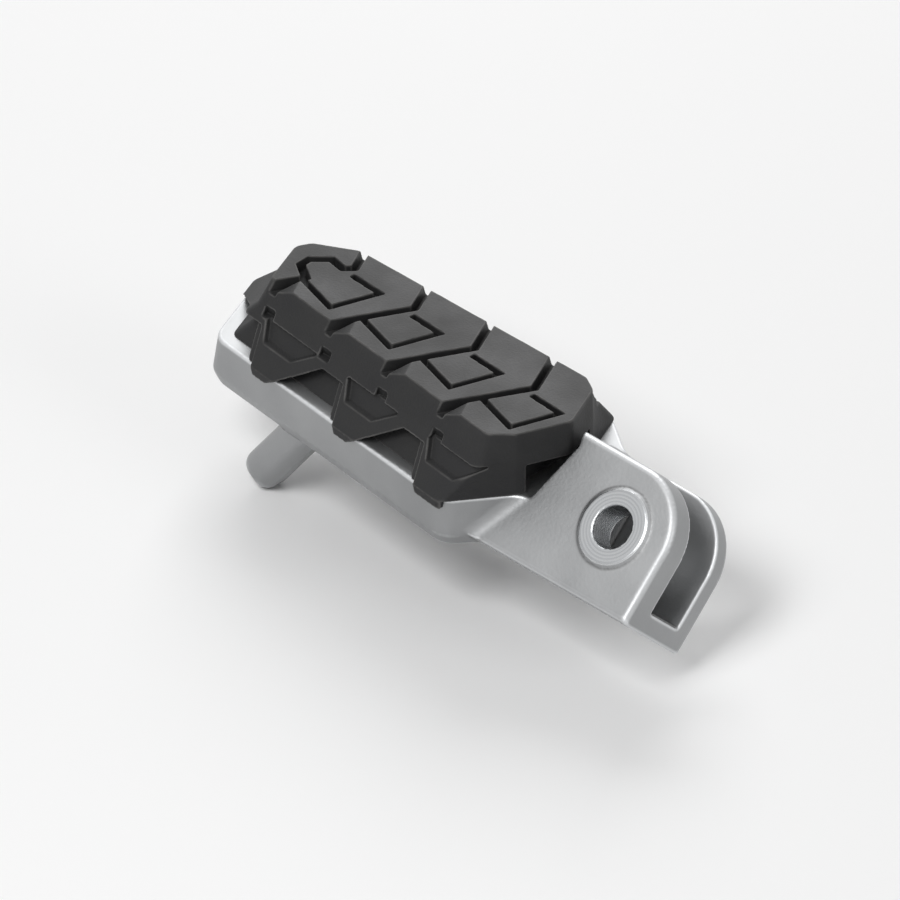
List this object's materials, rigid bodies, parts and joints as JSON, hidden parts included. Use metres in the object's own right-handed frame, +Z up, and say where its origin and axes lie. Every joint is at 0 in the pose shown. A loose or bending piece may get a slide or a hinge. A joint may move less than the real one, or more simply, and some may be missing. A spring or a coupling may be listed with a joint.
{
  "type": "motorcycle footpeg",
  "caption": "Folding rider footpeg: cast tray with a slanted slotted hinge tongue and a feeler, carrying a rubber pad with a chevron block tread.",
  "frame": {"origin": "on the hinge axis, inside the hinge tongue, 10.8 mm behind its front face", "axes": "+X along the peg towards the motorcycle, +Y to the rear, +Z up out of the tread; the hinge axis lies in the YZ plane, 45 degrees above -Y"},
  "size_m": [0.1421, 0.0513, 0.0508],
  "materials": {
    "cast_aluminium": "bead-blasted casting, satin",
    "tread_rubber": "moulded, matte",
    "plate_steel": "phosphated steel, dull",
    "screw_steel": "zinc-plated steel"
  },
  "bodies": {
    "root": {"peg_body": "cast_aluminium", "tread_rubber": "tread_rubber", "pad_plate": "plate_steel", "pad_screws": "screw_steel", "pad_washers": "screw_steel"}
  },
  "joints": []
}
